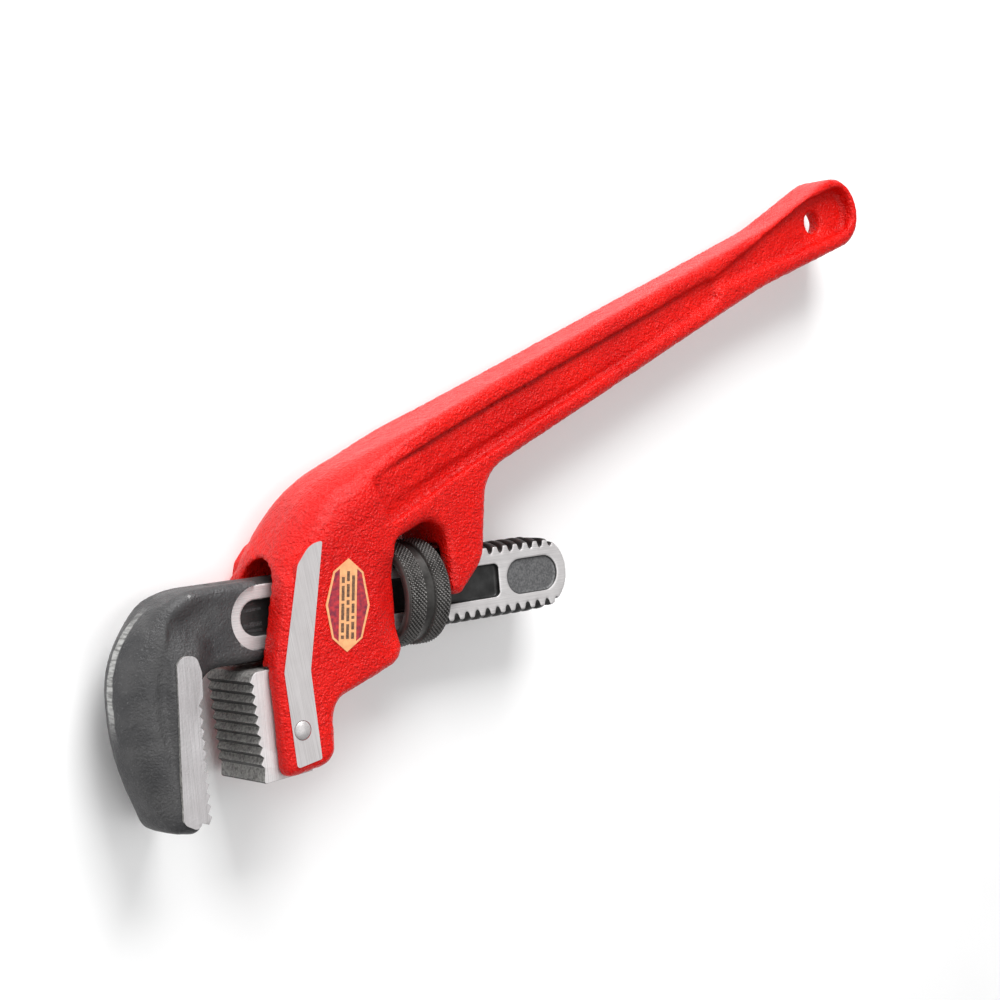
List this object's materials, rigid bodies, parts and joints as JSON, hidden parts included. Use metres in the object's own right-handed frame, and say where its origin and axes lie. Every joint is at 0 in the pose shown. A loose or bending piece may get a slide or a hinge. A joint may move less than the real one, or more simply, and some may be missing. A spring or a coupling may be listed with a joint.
{
  "type": "pipe wrench",
  "caption": "Adjustable end-pattern pipe wrench: red cast handle, toothed hook and heel jaws, knurled adjusting nut on a threaded shank.",
  "frame": {"origin": "under the middle of the bounding box, on the plane the wrench lies on", "axes": "+X along the threaded shank from the jaws to the grip, +Y up the side of the wrench away from the jaws' mouth, +Z the wrench's thickness, up as it lies on its side"},
  "size_m": [0.3752, 0.2158, 0.0411],
  "materials": {
    "red_paint": "glossy paint over a sand casting",
    "forged_steel": "dark forged and heat-treated steel",
    "black_steel": "black oxide, knurled",
    "ground_steel": "ground steel",
    "spring_steel": "spring steel",
    "label_print": "printed label"
  },
  "bodies": {
    "handle": {"handle_housing": "red_paint", "heel_jaw": "ground_steel", "heel_jaw_pin": "ground_steel", "spring_rivet": "ground_steel", "service_label": "label_print", "coil_spring": "spring_steel"},
    "rocker": {"flat_spring": "spring_steel"},
    "nut": {"adjusting_nut": "black_steel"},
    "jaw": {"hook_jaw": "forged_steel"}
  },
  "joints": [
    {"name": "jaw_rock", "type": "hinge", "parent": "handle", "child": "rocker", "pos_m": [-0.06882, -0.04142, 0.02], "axis": [0, 0, 1], "range_deg": [-1.2, 1.2], "stiffness_Nm_per_rad": 2, "deforming": ["coil_spring", "flat_spring"]},
    {"name": "nut_spin", "type": "hinge", "parent": "rocker", "child": "nut", "pos_m": [-0.06882, -0.04142, 0.02], "axis": [1, 0, 0], "range_deg": [-966, 3712]},
    {"name": "hook_jaw_slide", "type": "slide", "parent": "rocker", "child": "jaw", "axis": [1, 0, 0], "range_m": [-0.05, 0.013]}
  ],
  "couplings": [
    {"joint": "nut_spin", "follows": "hook_jaw_slide", "rad_per_m": -1295.5}
  ]
}
